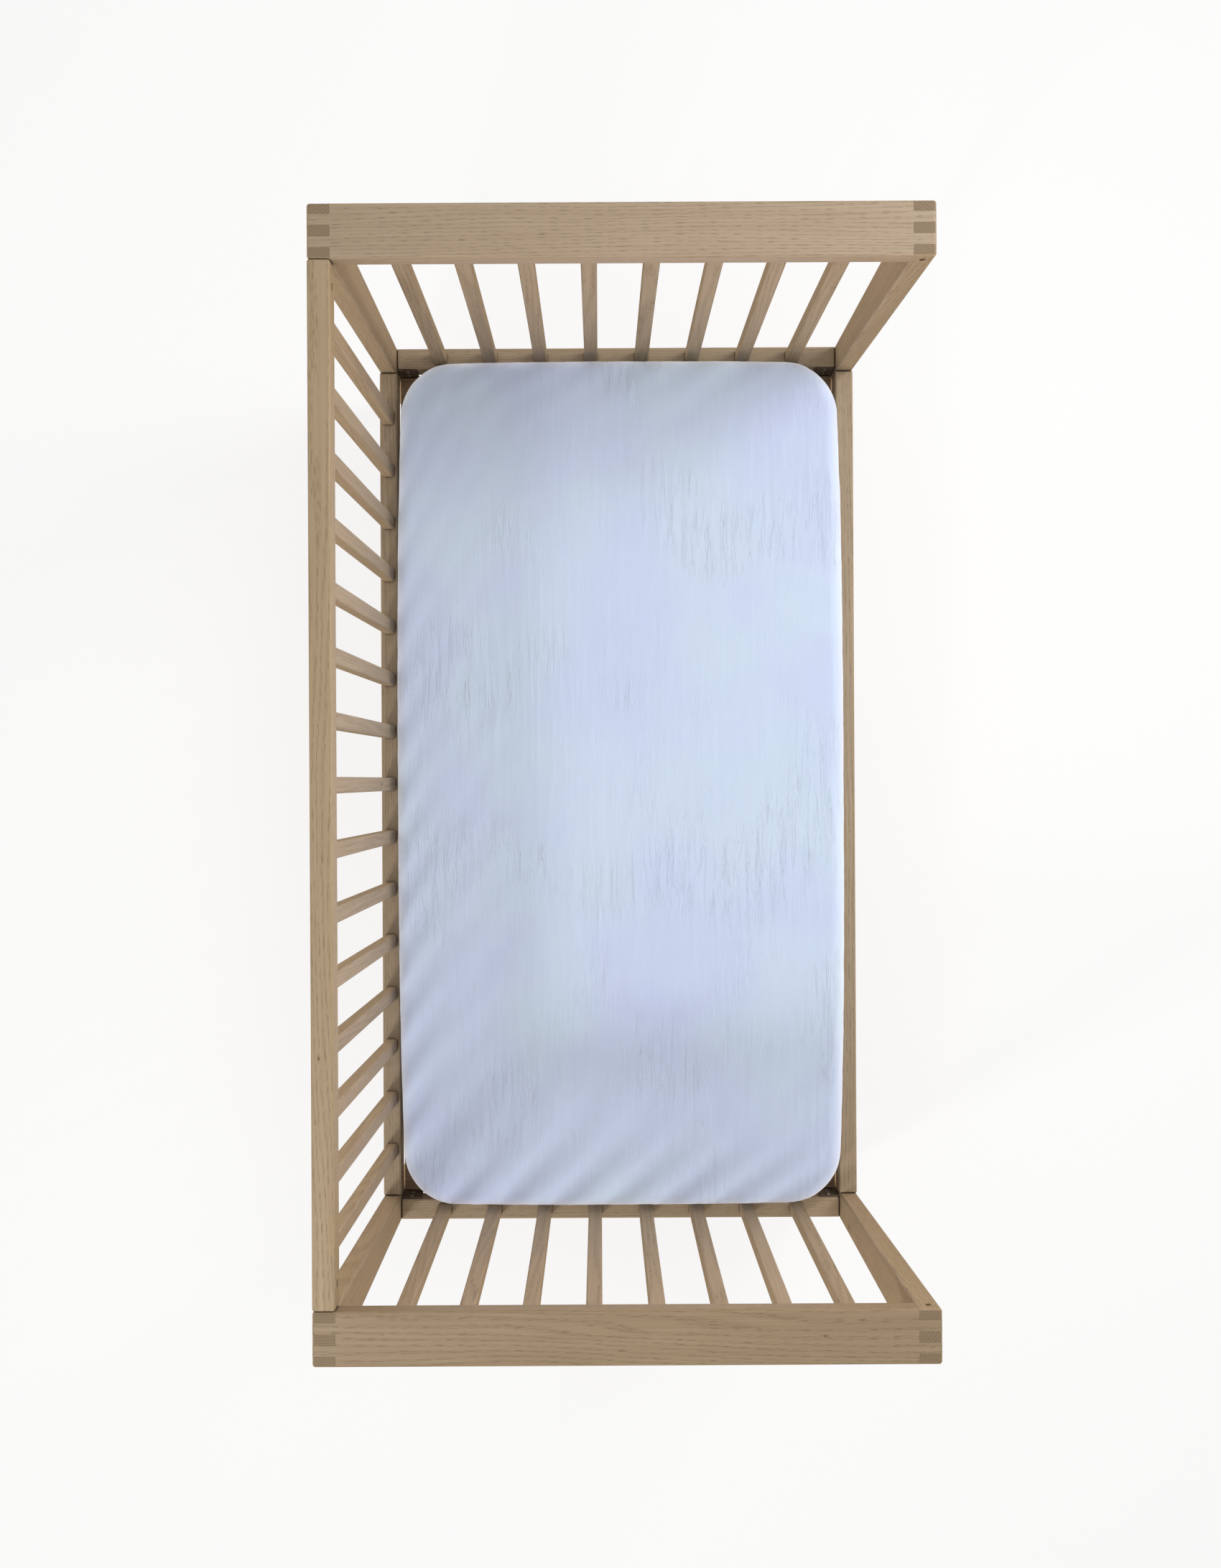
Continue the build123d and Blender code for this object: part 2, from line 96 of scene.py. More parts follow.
class CRIB_PG_bedding(bpy.types.PropertyGroup):
    """Shape and colour of the mattress pad and the fitted sheet."""

    cotton: FloatVectorProperty(
        name="Sheet colour", description="Washed cotton muslin of the fitted sheet",
        default=(0.585, 0.680, 0.905), size=3, subtype="COLOR", min=0, max=1,
    )
    crown: FloatProperty(
        name="Crown", description="How much the middle of the top stands above its rim",
        default=0.0045, min=0, max=0.03, subtype="DISTANCE", unit="LENGTH",
    )
    side_bow: FloatProperty(
        name="Side bow", description="How far the long sides pull in at the corners",
        default=0.011, min=0, max=0.04, subtype="DISTANCE", unit="LENGTH",
    )
    end_bow: FloatProperty(
        name="End bow", description="How far the short ends pull in at the corners",
        default=0.005, min=0, max=0.04, subtype="DISTANCE", unit="LENGTH",
    )
    corner_radius: FloatProperty(
        name="Corner radius", description="Corners of the mattress seen from above",
        default=0.078, min=0.03, max=0.2, subtype="DISTANCE", unit="LENGTH",
    )
    edge_radius: FloatProperty(
        name="Edge radius", description="Roll from the top to the sides",
        default=0.022, min=0.008, max=0.06, subtype="DISTANCE", unit="LENGTH",
    )
    crinkle: FloatProperty(
        name="Crinkle", description="Height of the fine lengthwise creases in the sheet",
        default=0.0012, min=0, max=0.01, subtype="DISTANCE", unit="LENGTH",
    )
    tuck: FloatProperty(
        name="Tuck", description="How far the sheet reaches in under the mattress",
        default=0.110, min=0.03, max=0.2, subtype="DISTANCE", unit="LENGTH",
    )
    gathers: IntProperty(
        name="Gathers", description="Rises and dips that the elastic draws up all round the hem",
        default=260, min=20, max=400,
    )


class CRIB_PG_studio(bpy.types.PropertyGroup):
    """Camera and lights."""

    camera_height: FloatProperty(
        name="Camera height", description="Height of the camera above the floor",
        default=2.700, min=1, max=10, subtype="DISTANCE", unit="LENGTH",
    )
    lens: FloatProperty(
        name="Lens", description="Focal length in millimetres on a 36 mm sensor",
        default=34.12, min=10, max=200,
    )
    key_power: FloatProperty(
        name="Key light", description="Power of the large light beyond the open front, by the head end",
        default=16.0, min=0, max=1000, unit="POWER",
    )
    side_power: FloatProperty(
        name="Side light", description="Power of the light beyond the slatted back and foot",
        default=17.0, min=0, max=1000, unit="POWER",
    )
    sky: FloatProperty(
        name="Sky", description="Strength of the even light from all round",
        default=0.70, min=0, max=5,
    )


# ---- node helpers ----


def add(tree, kind, **settings):
    """A new node with its own settings."""
    node = tree.nodes.new(kind)
    for name, value in settings.items():
        setattr(node, name, value)
    return node


def feed(tree, socket, value):
    """Link one socket to another, or give it a plain value."""
    if isinstance(value, bpy.types.NodeSocket):
        tree.links.new(value, socket)
    else:
        socket.default_value = value


def calc(tree, operation, *values, clamp=False):
    """A Math node."""
    node = add(tree, "ShaderNodeMath", operation=operation, use_clamp=clamp)
    for socket, value in zip(node.inputs, values):
        feed(tree, socket, value)
    return node.outputs[0]


def vector_calc(tree, operation, first, second):
    """A Vector Math node with two vectors."""
    node = add(tree, "ShaderNodeVectorMath", operation=operation)
    feed(tree, node.inputs[0], first)
    feed(tree, node.inputs[1], second)
    return node.outputs[0]


def dot(tree, first, second):
    """The dot product of two vectors."""
    node = add(tree, "ShaderNodeVectorMath", operation="DOT_PRODUCT")
    feed(tree, node.inputs[0], first)
    feed(tree, node.inputs[1], second)
    return node.outputs["Value"]


def length(tree, vector):
    """The length of a vector."""
    node = add(tree, "ShaderNodeVectorMath", operation="LENGTH")
    feed(tree, node.inputs[0], vector)
    return node.outputs["Value"]


def scaled(tree, vector, factor):
    """A vector times a number."""
    node = add(tree, "ShaderNodeVectorMath", operation="SCALE")
    feed(tree, node.inputs[0], vector)
    feed(tree, node.inputs["Scale"], factor)
    return node.outputs[0]


def grainy(tree, vector, scale=1.0, detail=2.0, roughness=0.5):
    """Noise from 0 to 1 at each point of a vector field."""
    node = add(tree, "ShaderNodeTexNoise")
    feed(tree, node.inputs["Vector"], vector)
    node.inputs["Scale"].default_value = scale
    node.inputs["Detail"].default_value = detail
    node.inputs["Roughness"].default_value = roughness
    return node.outputs["Fac"]


def stretched(tree, vector, scale):
    """A vector scaled by its own factor along each axis."""
    node = add(tree, "ShaderNodeMapping")
    feed(tree, node.inputs["Vector"], vector)
    node.inputs["Scale"].default_value = scale
    return node.outputs["Vector"]


def off_middle(tree, value, middle, weight, rest=0.0):
    """How far a value is from its middle, times a weight, added to the rest."""
    return calc(tree, "MULTIPLY_ADD", calc(tree, "SUBTRACT", value, middle), weight, rest)


def ramp(tree, value, low, high, start=0.0, end=1.0):
    """A smooth step from start to end while value goes from low to high."""
    node = add(tree, "ShaderNodeMapRange", interpolation_type="SMOOTHSTEP")
    feed(tree, node.inputs["Value"], value)
    node.inputs["From Min"].default_value = low
    node.inputs["From Max"].default_value = high
    node.inputs["To Min"].default_value = start
    node.inputs["To Max"].default_value = end
    return node.outputs["Result"]


def blend_colour(tree, share, first, second):
    """Two colours mixed by a share from 0 to 1."""
    node = add(tree, "ShaderNodeMix", data_type="RGBA")
    feed(tree, node.inputs[0], share)
    feed(tree, node.inputs[6], first)
    feed(tree, node.inputs[7], second)
    return node.outputs[2]


def shader_group(name, inputs, outputs):
    """An empty shader group with its sockets: (group, entry node, result node)."""
    group = bpy.data.node_groups.new(name, "ShaderNodeTree")
    for label, kind in inputs:
        group.interface.new_socket(name=label, in_out="INPUT", socket_type="NodeSocket" + kind)
    for label, kind in outputs:
        group.interface.new_socket(name=label, in_out="OUTPUT", socket_type="NodeSocket" + kind)
    return group, group.nodes.new("NodeGroupInput"), group.nodes.new("NodeGroupOutput")


# ---- shared effects ----


RING_DRIFT = 0.050  # how far the rings wander over a board
RING_RIPPLE = 0.0030  # how far they waver over a finger's width or two
RING_SHARPNESS = 2.2
RING_WEIGHT = 0.16
FIBRE_WEIGHT = 1.05
BAND_WEIGHT = 0.52
WANDER_WEIGHT = 0.55
PORE_WEIGHT = 0.62
MIDDLE_TONE = 0.36
DUSKY_END = (0.105, 0.082, 0.062, 1.0)


def streak(tree, from_heart, lengthwise, across_scale, along_scale, detail):
    """Noise drawn out along the grain."""
    wide = scaled(tree, from_heart, across_scale)
    long = scaled(tree, lengthwise, along_scale)
    return grainy(tree, vector_calc(tree, "ADD", wide, long), 1.0, detail)


def ring_wave(tree, from_heart, wander, waver, ring_width):
    """A wave from 0 to 1 that repeats with every growth ring."""
    drift = off_middle(tree, wander, 0.5, RING_DRIFT)
    ripple = off_middle(tree, waver, 0.5, RING_RIPPLE)
    radius = length(tree, from_heart)
    warped = calc(tree, "ADD", radius, calc(tree, "ADD", drift, ripple))
    turn = calc(tree, "MULTIPLY", calc(tree, "DIVIDE", warped, ring_width), math.tau)
    return calc(tree, "MULTIPLY_ADD", calc(tree, "SINE", turn), 0.5, 0.5)


def end_grain_colour(tree, point, ring, pale, deep):
    """Rings and speckles on a sawn end, duller than the faces."""
    speckle = grainy(tree, scaled(tree, point, 1600.0), 1.0, 1.0)
    end_tone = calc(tree, "MULTIPLY_ADD", ring, 0.34, calc(tree, "MULTIPLY", speckle, 0.5))
    end_share = calc(tree, "ADD", end_tone, 0.30, clamp=True)
    dusky = blend_colour(tree, 0.45, deep, DUSKY_END)
    end_pale = blend_colour(tree, 0.80, pale, deep)
    return blend_colour(tree, end_share, end_pale, dusky)


def growth_ring_group():
    """Timber cut from a log: rings about the heart, fibres and pores along the grain."""
    inputs = [
        ("Point", "Vector"), ("Normal", "Vector"), ("Grain", "Vector"), ("Heart", "Vector"),
        ("Pale", "Color"), ("Deep", "Color"), ("Ring Width", "Float"), ("Contrast", "Float"),
    ]
    outputs = [("Color", "Color"), ("Roughness", "Float"), ("Height", "Float")]
    tree, entry, result = shader_group("Growth rings", inputs, outputs)
    point = entry.outputs["Point"]
    grain = entry.outputs["Grain"]
    pale = entry.outputs["Pale"]
    deep = entry.outputs["Deep"]
    lengthwise = scaled(tree, grain, dot(tree, point, grain))
    across = vector_calc(tree, "SUBTRACT", point, lengthwise)
    from_heart = vector_calc(tree, "ADD", across, entry.outputs["Heart"])

    wander = streak(tree, from_heart, lengthwise, 9.0, 0.9, 2.0)
    waver = streak(tree, from_heart, lengthwise, 60.0, 4.0, 1.0)
    fibres = streak(tree, from_heart, lengthwise, 760.0, 8.0, 2.0)
    bands = streak(tree, from_heart, lengthwise, 110.0, 1.6, 3.0)
    pore_noise = streak(tree, from_heart, lengthwise, 2000.0, 72.0, 0.0)
    wave = ring_wave(tree, from_heart, wander, waver, entry.outputs["Ring Width"])
    ring = calc(tree, "POWER", wave, RING_SHARPNESS)
    pore_rows = ramp(tree, wave, 0.35, 0.8)
    pores = calc(tree, "MULTIPLY", ramp(tree, pore_noise, 0.60, 0.72), pore_rows)

    tone = off_middle(tree, ring, 0.32, RING_WEIGHT)
    tone = off_middle(tree, fibres, 0.5, FIBRE_WEIGHT, tone)
    tone = off_middle(tree, bands, 0.5, BAND_WEIGHT, tone)
    tone = off_middle(tree, wander, 0.5, WANDER_WEIGHT, tone)
    tone = calc(tree, "MULTIPLY", tone, entry.outputs["Contrast"])
    share = calc(tree, "ADD", tone, MIDDLE_TONE, clamp=True)
    face = blend_colour(tree, share, pale, deep)
    pored = blend_colour(tree, calc(tree, "MULTIPLY", pores, PORE_WEIGHT), face, scaled(tree, deep, 0.72))
    facing = calc(tree, "ABSOLUTE", dot(tree, entry.outputs["Normal"], grain))
    end = ramp(tree, facing, 0.72, 0.93)
    end_face = end_grain_colour(tree, point, ring, pale, deep)
    feed(tree, result.inputs["Color"], blend_colour(tree, end, pored, end_face))

    dull = calc(tree, "MULTIPLY_ADD", fibres, 0.16, 0.44)
    feed(tree, result.inputs["Roughness"], calc(tree, "MULTIPLY_ADD", end, 0.18, dull, clamp=True))
    raised = calc(tree, "MULTIPLY_ADD", pores, -0.8, calc(tree, "MULTIPLY", fibres, 0.6))
    feed(tree, result.inputs["Height"], calc(tree, "MULTIPLY_ADD", ring, 0.25, raised))
    return tree


def pin_knot_group():
    """A small knot with a dark heart and a stained halo drawn out along the grain."""
    inputs = [("Point", "Vector"), ("Grain", "Vector"), ("Centre", "Vector"), ("Size", "Float")]
    tree, entry, result = shader_group("Pin knot", inputs, [("Heart", "Float"), ("Halo", "Float")])
    offset = vector_calc(tree, "SUBTRACT", entry.outputs["Point"], entry.outputs["Centre"])
    along = dot(tree, offset, entry.outputs["Grain"])
    squeezed = scaled(tree, entry.outputs["Grain"], calc(tree, "MULTIPLY", along, -0.55))
    reach = length(tree, vector_calc(tree, "ADD", offset, squeezed))
    rough_edge = calc(tree, "MULTIPLY_ADD", grainy(tree, scaled(tree, offset, 900.0)), 0.8, 0.6)
    reach = calc(tree, "DIVIDE", calc(tree, "MULTIPLY", reach, rough_edge), entry.outputs["Size"])
    feed(tree, result.inputs["Heart"], ramp(tree, reach, 0.6, 1.0, 1.0, 0.0))
    feed(tree, result.inputs["Halo"], ramp(tree, reach, 0.9, 4.0, 1.0, 0.0))
    return tree


SLUB_STRETCH = (14.0, 420.0, 90.0)
THREAD_RELIEF = 0.22


def weave_group():
    """Plain weave: threads along two axes of every face, with slubs."""
    inputs = [("Point", "Vector"), ("Normal", "Vector"), ("Pitch", "Float")]
    outputs = [("Height", "Float"), ("Slub", "Float")]
    tree, entry, result = shader_group("Plain weave", inputs, outputs)
    turns = calc(tree, "DIVIDE", math.tau, entry.outputs["Pitch"])
    spot = add(tree, "ShaderNodeSeparateXYZ")
    feed(tree, spot.inputs[0], scaled(tree, entry.outputs["Point"], turns))
    lean = add(tree, "ShaderNodeSeparateXYZ")
    feed(tree, lean.inputs[0], entry.outputs["Normal"])
    total = 0.0
    for axis in "XYZ":
        thread = calc(tree, "SINE", spot.outputs[axis])
        edge_on = calc(tree, "ABSOLUTE", lean.outputs[axis])
        total = calc(tree, "MULTIPLY_ADD", thread, calc(tree, "SUBTRACT", 1.0, edge_on), total)
    slub_lie = stretched(tree, entry.outputs["Point"], SLUB_STRETCH)
    slub = grainy(tree, slub_lie, 1.0, 3.0, 0.6)
    feed(tree, result.inputs["Height"], calc(tree, "MULTIPLY_ADD", total, THREAD_RELIEF, slub))
    feed(tree, result.inputs["Slub"], slub)
    return tree


def handling_group():
    """Soft blotches and fine dust from handling, used on every hard finish."""
    tree, entry, result = shader_group(
        "Handling marks", [("Point", "Vector")], [("Blotch", "Float"), ("Dust", "Float")]
    )
    point = entry.outputs["Point"]
    feed(tree, result.inputs["Blotch"], grainy(tree, scaled(tree, point, 7.0), 1.0, 3.0, 0.55))
    dust = grainy(tree, scaled(tree, point, 420.0), 1.0, 2.0, 0.7)
    feed(tree, result.inputs["Dust"], ramp(tree, dust, 0.45, 0.75))
    return tree


EFFECTS = {}


def effect(name):
    """A shared shader group, built once."""
    makers = {
        "rings": growth_ring_group,
        "knot": pin_knot_group,
        "weave": weave_group,
        "handling": handling_group,
    }
    if name not in EFFECTS:
        EFFECTS[name] = makers[name]()
    return EFFECTS[name]


def place(tree, name, **values):
    """One shared effect placed in a material with its own values."""
    node = add(tree, "ShaderNodeGroup", node_tree=effect(name))
    for label, value in values.items():
        feed(tree, node.inputs[label.replace("_", " ")], value)
    return node.outputs


def new_material(name):
    """A material with its Principled shader and its object coordinates."""
    material = bpy.data.materials.new(name)
    material.use_nodes = True
    tree = material.node_tree
    shader = tree.nodes["Principled BSDF"]
    return material, tree, shader, add(tree, "ShaderNodeTexCoord").outputs


def relief(tree, shader, height, distance, strength=1.0):
    """A Bump node that feeds the shader's Normal."""
    bump = add(tree, "ShaderNodeBump")
    bump.inputs["Strength"].default_value = strength
    bump.inputs["Distance"].default_value = distance
    feed(tree, bump.inputs["Height"], height)
    feed(tree, shader.inputs["Normal"], bump.outputs["Normal"])


# ---- timber ----

# A pin knot's offset from the middle of its board, and its size.
KNOTS = {
    "back_slat_8": ((0.0, -0.009, -0.128), 0.0016),
    "foot_front_post": ((-0.021, 0.014, -0.063), 0.0018),
    "foot_top_board": ((0.002, -0.240, 0.014), 0.0008),
    "head_slat_6": ((-0.009, 0.004, 0.060), 0.0013),
    "back_top_rail": ((-0.331, 0.004, 0.017), 0.0009),
}
# Painted light and shade on some boards, as the light falls from the head end: the head top board lighter
# and bluer, the foot top board darker and browner, the back top rail a little warmer.
PAINTED_LIGHT_TINTS = {
    "head_top_board": (1.02, 1.03, 1.10),
    "foot_top_board": (0.82, 0.80, 0.745),
    "back_top_rail": (0.99, 0.985, 0.93),
}
# Painted shade on the other foot end parts: a little darker and browner.
FOOT_END_SHADE_TINT = (0.97, 0.955, 0.92)
PLAIN_TINT = (1.0, 1.0, 1.0)
KNOT_HALO = (0.20, 0.125, 0.065, 1.0)
KNOT_HEART = (0.070, 0.045, 0.028, 1.0)
# Painted shade in the grooves between boards: how far it looks for nearby surfaces, and its darkest
# colour.
GROOVE_SHADE_REACH = 0.005
GROOVE_SHADE_COLOUR = (0.060, 0.042, 0.027, 1.0)
LACQUER = 0.04
GRAIN_RELIEF = 0.00025


def long_axis(node):
    """The direction in which a board is longest, as a unit vector."""
    mesh = frame["nodes"][node].data
    points = np.empty(len(mesh.vertices) * 3)
    mesh.vertices.foreach_get("co", points)
    points = points.reshape(-1, 3)
    low = points.min(0)
    high = points.max(0)
    axis = int(np.argmax(high - low))
    middle = (low[axis] + high[axis]) / 2
    upper = points[points[:, axis] > middle].mean(0)
    lower = points[points[:, axis] <= middle].mean(0)
    direction = Vector(upper - lower)
    return direction.normalized()


def board_middle(node):
    """The middle of a board's box."""
    low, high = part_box(node)
    return (low + high) / 2


def joint_shadow(tree, colour):
    """Painted shade: darken the narrow grooves where two boards meet, as far as nearby surfaces close
    them in.
    """
    nearness = add(tree, "ShaderNodeAmbientOcclusion", samples=6)
    nearness.inputs["Distance"].default_value = GROOVE_SHADE_REACH
    open_share = ramp(tree, nearness.outputs["AO"], 0.25, 0.85, 0.0, 1.0)
    return blend_colour(tree, open_share, GROOVE_SHADE_COLOUR, colour)


def pin_knot(tree, node, grain, spots, colour, height):
    """A board's pin knot drawn over its figure: (colour, height)."""
    offset, size = KNOTS[node]
    centre = board_middle(node) + Vector(offset)
    knot = place(
        tree, "knot", Point=spots["Object"], Grain=tuple(grain), Centre=tuple(centre), Size=size
    )
    stained = calc(tree, "MULTIPLY", knot["Halo"], 0.45)
    colour = blend_colour(tree, stained, colour, KNOT_HALO)
    colour = blend_colour(tree, knot["Heart"], colour, KNOT_HEART)
    return colour, calc(tree, "MULTIPLY_ADD", knot["Heart"], -1.0, height)


def timber_material(node, grain, pale, deep, ring_width, contrast, painted_light_tint, lacquer):
    """The material of one board, cut from its own place in the log."""
    dice = random.Random(node)
    material, tree, shader, spots = new_material(node + "_timber")
    sideways = grain.orthogonal().normalized()
    upright = grain.cross(sideways)
    turn = dice.uniform(0, math.tau)
    away = dice.uniform(0.09, 0.22)
    heart = (sideways * math.cos(turn) + upright * math.sin(turn)) * away
    shift = grain * dice.uniform(-4, 4)
    point = vector_calc(tree, "ADD", spots["Object"], tuple(shift))
    shade = dice.uniform(0.96, 1.04)
    # The board's colours times its painted light and shade, and a small random tone.
    pale_now = [min(1.0, c * t * shade) for c, t in zip(pale, painted_light_tint)] + [1.0]
    deep_now = [min(1.0, c * t * shade) for c, t in zip(deep, painted_light_tint)] + [1.0]
    rings = place(
        tree, "rings", Point=point, Normal=spots["Normal"], Grain=tuple(grain), Heart=tuple(heart),
        Pale=pale_now, Deep=deep_now, Ring_Width=ring_width, Contrast=contrast,
    )
    marks = place(tree, "handling", Point=spots["Object"])
    cloudy = ramp(tree, marks["Blotch"], 0.25, 0.8, 0.0, 0.16)
    colour = blend_colour(tree, cloudy, rings["Color"], deep_now)
    height = rings["Height"]
    if node in KNOTS:
        colour, height = pin_knot(tree, node, grain, spots, colour, height)
    # Painted shade in the grooves between boards, on the lacquered oak only.
    if lacquer > 0:
        colour = joint_shadow(tree, colour)
    feed(tree, shader.inputs["Base Color"], colour)
    dusty = calc(tree, "MULTIPLY_ADD", marks["Dust"], 0.08, rings["Roughness"], clamp=True)
    feed(tree, shader.inputs["Roughness"], dusty)
    shader.inputs["Specular IOR Level"].default_value = 0.30
    shader.inputs["Coat Weight"].default_value = lacquer
    shader.inputs["Coat Roughness"].default_value = 0.38
    relief(tree, shader, height, GRAIN_RELIEF)
    return material


def painted_light_tint_of(node):
    """The painted light and shade on this board: lighter and bluer on the head top board, darker and
    browner at the foot end.
    """
    if node.startswith("foot_"):
        return PAINTED_LIGHT_TINTS.get(node, FOOT_END_SHADE_TINT)
    return PAINTED_LIGHT_TINTS.get(node, PLAIN_TINT)


def nodes_in_slot(slot):
    """The CAD nodes that take their finish from a slot of the record."""
    found = [part["node"] for part in frame["record"]["subparts"] if part["material_slot"] == slot]
    return sorted(found)


def dress(node, material):
    """Put a material in every slot of a CAD node."""
    for slot in frame["nodes"][node].material_slots:
        slot.material = material


class CRIB_OT_finish_oak(bpy.types.Operator):
    """Give every post, board, rail and slat its own washed oak"""

    bl_idname = "crib.finish_oak"
    bl_label = "Finish the oak frame"

    def execute(self, context):
        wood = context.scene.crib_wood
        for node in nodes_in_slot("washed_oak"):
            material = timber_material(
                node, long_axis(node), wood.oak_pale, wood.oak_deep,
                wood.ring_width, wood.contrast, painted_light_tint_of(node), LACQUER,
            )
            dress(node, material)
        return {"FINISHED"}


class CRIB_OT_finish_base(bpy.types.Operator):
    """Give the bearers, base slats and dowels their plain planed timber"""

    bl_idname = "crib.finish_base"
    bl_label = "Finish the mattress base"

    def execute(self, context):
        wood = context.scene.crib_wood
        across = Vector((0.0, 1.0, 0.0))
        for node in nodes_in_slot("base_timber"):
            grain = across if node == "base_slats" else long_axis(node)
            material = timber_material(
                node, grain, wood.base_pale, wood.base_deep,
                wood.ring_width * 1.5, wood.contrast * 1.25, PLAIN_TINT, 0.0,
            )
            dress(node, material)
        return {"FINISHED"}


# ---- hardware ----


def zinc_material():
    """Zinc-plated steel with cloudy passivation."""
    material, tree, shader, spots = new_material("zinc_plated_steel")
    marks = place(tree, "handling", Point=spots["Object"])
    bright = (0.62, 0.62, 0.59, 1.0)
    cloudy = (0.40, 0.41, 0.38, 1.0)
    share = ramp(tree, marks["Dust"], 0.0, 1.0, 0.1, 0.7)
    feed(tree, shader.inputs["Base Color"], blend_colour(tree, share, bright, cloudy))
    feed(tree, shader.inputs["Roughness"], ramp(tree, marks["Dust"], 0.0, 1.0, 0.24, 0.46))
    shader.inputs["Metallic"].default_value = 1.0
    relief(tree, shader, marks["Dust"], distance=0.00004)
    return material


def powder_coat_material():
    """Dark powder coat: fine orange peel over pressed steel."""
    material, tree, shader, spots = new_material("dark_powder_coat")
    marks = place(tree, "handling", Point=spots["Object"])
    peel = grainy(tree, scaled(tree, spots["Object"], 900.0), 1.0, 1.0)
    fresh = (0.095, 0.068, 0.045, 1.0)
    rubbed = (0.130, 0.096, 0.066, 1.0)
    share = ramp(tree, marks["Blotch"], 0.35, 0.8, 0.0, 0.7)
    feed(tree, shader.inputs["Base Color"], blend_colour(tree, share, fresh, rubbed))
    feed(tree, shader.inputs["Roughness"], ramp(tree, marks["Dust"], 0.0, 1.0, 0.55, 0.72))
    shader.inputs["Specular IOR Level"].default_value = 0.25
    relief(tree, shader, peel, distance=0.00006)
    return material


def glide_material():
    """Moulded plastic with a fine spark texture, scuffed by the floor."""
    material, tree, shader, spots = new_material("moulded_glide_plastic")
    marks = place(tree, "handling", Point=spots["Object"])
    clean = (0.30, 0.275, 0.245, 1.0)
    scuffed = (0.17, 0.155, 0.14, 1.0)
    share = ramp(tree, marks["Dust"], 0.2, 1.0, 0.0, 0.6)
    feed(tree, shader.inputs["Base Color"], blend_colour(tree, share, clean, scuffed))
    feed(tree, shader.inputs["Roughness"], ramp(tree, marks["Blotch"], 0.2, 0.8, 0.42, 0.66))
    relief(tree, shader, marks["Dust"], distance=0.00006)
    return material


class CRIB_OT_finish_hardware(bpy.types.Operator):
    """Finish the bolts, nuts, screws, hanger brackets and floor glides"""

    bl_idname = "crib.finish_hardware"
    bl_label = "Finish the hardware"

    def execute(self, context):
        finishes = {
            "zinc_steel": zinc_material(),
            "bracket_steel": powder_coat_material(),
            "glide_plastic": glide_material(),
        }
        for slot, material in finishes.items():
            for node in nodes_in_slot(slot):
                dress(node, material)
        return {"FINISHED"}


# ---- mattress and sheet ----

GRID_STEP_X = 0.0060  # between points of the top, along the mattress
GRID_STEP_Y = 0.0037  # and across it
RING_STEP = 0.0050  # between rings of points down the side and under the mattress
END_SPREAD = -0.0005  # each end is drawn in by this, clear of the end slats
FRONT_SPREAD = 0.0060  # the open front stands out by this
SIDE_SWELL = 0.0020  # the sides stand out by this halfway down
PAD_INSET = 0.0040  # from the sheet's outer face to the pad
PAD_LIFT = 0.0045  # of the pad's lower edge above its support
PUFF_GAP = 0.0006  # of the quilting's deepest puffs above the same support
QUILT_PITCH = 0.085
QUILT_SOFTNESS = 0.45
OPEN_FADE = 0.03  # how far inside the hem the puffs reach their full depth
SHEET_THICKNESS = 0.0010
SEAM_RIDGE = 0.0012
SEAM_SLANT = 0.045  # half the width of a corner seam, as a difference of the normal's parts
GATHER_DEPTH = 0.0016
GATHER_REACH = 0.09  # how far down the side the gathers grow to their full depth
HEM_GAP = 0.0008  # of the tucked sheet above the base slats
HEM_RISE = 0.0026  # of its gathers above that
HEM_RADIUS = 0.0018
HEM_CORNER = 0.030
HEM_SIDES = 10
HEM_SETBACK = 0.002
FLAT_BELOW = 0.004  # points this near the base slats get no creases


def rounded_plan(half_x, half_y, radius, steps_x, steps_y):
    """A grid of plan points whose outline is a rectangle with round corners."""
    x, y = np.meshgrid(
        np.linspace(-half_x, half_x, steps_x + 1),
        np.linspace(-half_y, half_y, steps_y + 1),
        indexing="ij",
    )
    into_x = np.clip((np.abs(x) - (half_x - radius)) / radius, 0, 1)
    into_y = np.clip((np.abs(y) - (half_y - radius)) / radius, 0, 1)
    reach = np.maximum(into_x, into_y)
    turn = np.minimum(into_x, into_y) / np.maximum(reach, 1e-9) * math.pi / 4
    turn = np.where(into_x >= into_y, turn, math.pi / 2 - turn)
    corner = (into_x > 0) & (into_y > 0)
    round_x = half_x - radius + radius * reach * np.cos(turn)
    round_y = half_y - radius + radius * reach * np.sin(turn)
    x = np.where(corner, np.sign(x) * round_x, x)
    y = np.where(corner, np.sign(y) * round_y, y)
    return x, y


def outline_order(steps_x, steps_y):
    """The grid places round its outline, anticlockwise from above."""
    order = [(i, 0) for i in range(steps_x)]
    order += [(steps_x, j) for j in range(steps_y)]
    order += [(i, steps_y) for i in range(steps_x, 0, -1)]
    order += [(0, j) for j in range(steps_y, 0, -1)]
    return np.array(order)


def outward(x, y, half_x, half_y, radius):
    """Unit normals of the outline in plan."""
    core_x = np.clip(x, -(half_x - radius), half_x - radius)
    core_y = np.clip(y, -(half_y - radius), half_y - radius)
    size = np.maximum(np.hypot(x - core_x, y - core_y), 1e-9)
    return (x - core_x) / size, (y - core_y) / size


